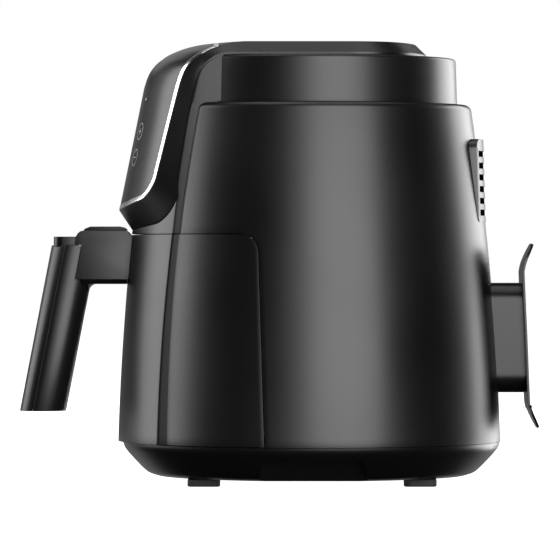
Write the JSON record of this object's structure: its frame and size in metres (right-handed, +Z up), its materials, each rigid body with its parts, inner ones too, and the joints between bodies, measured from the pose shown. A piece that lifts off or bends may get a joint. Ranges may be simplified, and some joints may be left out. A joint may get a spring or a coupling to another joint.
{
  "type": "air fryer",
  "caption": "Round tapered air fryer with a touch panel head, a sliding drawer holding a lift-out basket, a guarded release button in its handle, a fan heater and a rear cord tidy.",
  "frame": {"origin": "on the surface it stands on, under the middle of the whole width and length", "axes": "+Z up; -Y is the front with the touch panel and the handle, +Y the rear with the vent and the cord tidy; +X is the right-hand side seen from the front's own left"},
  "size_m": [0.274, 0.3764, 0.3165],
  "materials": {
    "satin_black": "satin",
    "base_black": "satin",
    "gloss_black": "polished",
    "chrome": "bright",
    "handle_grey": "satin",
    "coated_sheet": "non-stick coating",
    "steel": "brushed",
    "rubber": "matt",
    "board": "satin",
    "component": "satin",
    "element": "heat-darkened"
  },
  "bodies": {
    "housing": {"outer_shell": "satin_black", "top_tier": "satin_black", "neck_cover": "satin_black", "top_cover": "satin_black", "rear_vent": "satin_black", "base_tub": "base_black", "panel_carrier": "base_black", "cord_wrap_plate": "base_black", "cord_wrap_post": "base_black", "cord_gland": "base_black", "panel_lens": "gloss_black", "chrome_trim": "chrome", "chamber_liner": "steel", "front_bulkhead": "steel", "ceiling_plate": "steel", "element_guard": "steel", "pan_rail_left": "steel", "pan_rail_right": "steel", "heater_dome": "steel", "heater_bracket_1": "steel", "heater_bracket_2": "steel", "heater_bracket_3": "steel", "motor_bracket": "steel", "exhaust_duct": "steel", "temperature_sensor": "steel", "foot_front_left": "rubber", "foot_front_right": "rubber", "foot_rear_left": "rubber", "foot_rear_right": "rubber", "control_board": "board", "power_board": "board", "display_module": "component", "power_transformer": "component", "motor": "component", "thermal_cutout": "component", "drawer_switch": "component", "heater_coil": "element"},
    "pan": {"drawer_front": "satin_black", "drawer_backplate": "base_black", "pan_tub": "coated_sheet", "pan_catch": "steel"},
    "basket": {"basket_tub": "coated_sheet", "basket_tab": "steel", "handle_bracket": "handle_grey", "grip_front": "handle_grey", "grip_rear": "handle_grey", "grip_cap": "base_black", "grip_foot": "base_black", "grip_screw_1": "steel", "grip_screw_2": "steel", "release_spring": "steel"},
    "release": {"release_button": "base_black", "release_stem": "steel", "latch_hook": "steel"},
    "guard": {"button_guard": "base_black"},
    "fan_rotor": {"motor_shaft": "steel", "convection_fan": "steel", "cooling_fan": "component"},
    "switch_pin": {"switch_plunger": "base_black"}
  },
  "joints": [
    {"name": "drawer_slide", "type": "slide", "parent": "housing", "child": "pan", "axis": [0, -1, 0], "range_m": [0, 0.24]},
    {"name": "basket_lift", "type": "slide", "parent": "pan", "child": "basket", "axis": [0, 0, 1], "range_m": [0, 0.002]},
    {"name": "release_press", "type": "slide", "parent": "basket", "child": "release", "axis": [0, 0, -1], "range_m": [0, 0.004], "stiffness_N_per_m": 400, "springref_m": -0.002, "deforming": ["release_spring"]},
    {"name": "guard_slide", "type": "slide", "parent": "basket", "child": "guard", "axis": [0, -1, 0], "range_m": [0, 0.014]},
    {"name": "fan_spin", "type": "hinge", "parent": "housing", "child": "fan_rotor", "pos_m": [0, 0.0232, 0.25], "axis": [0, 0, 1], "continuous": true},
    {"name": "switch_press", "type": "slide", "parent": "housing", "child": "switch_pin", "axis": [0, 1, 0], "range_m": [0, 0.002], "stiffness_N_per_m": 150, "springref_m": -0.002}
  ]
}
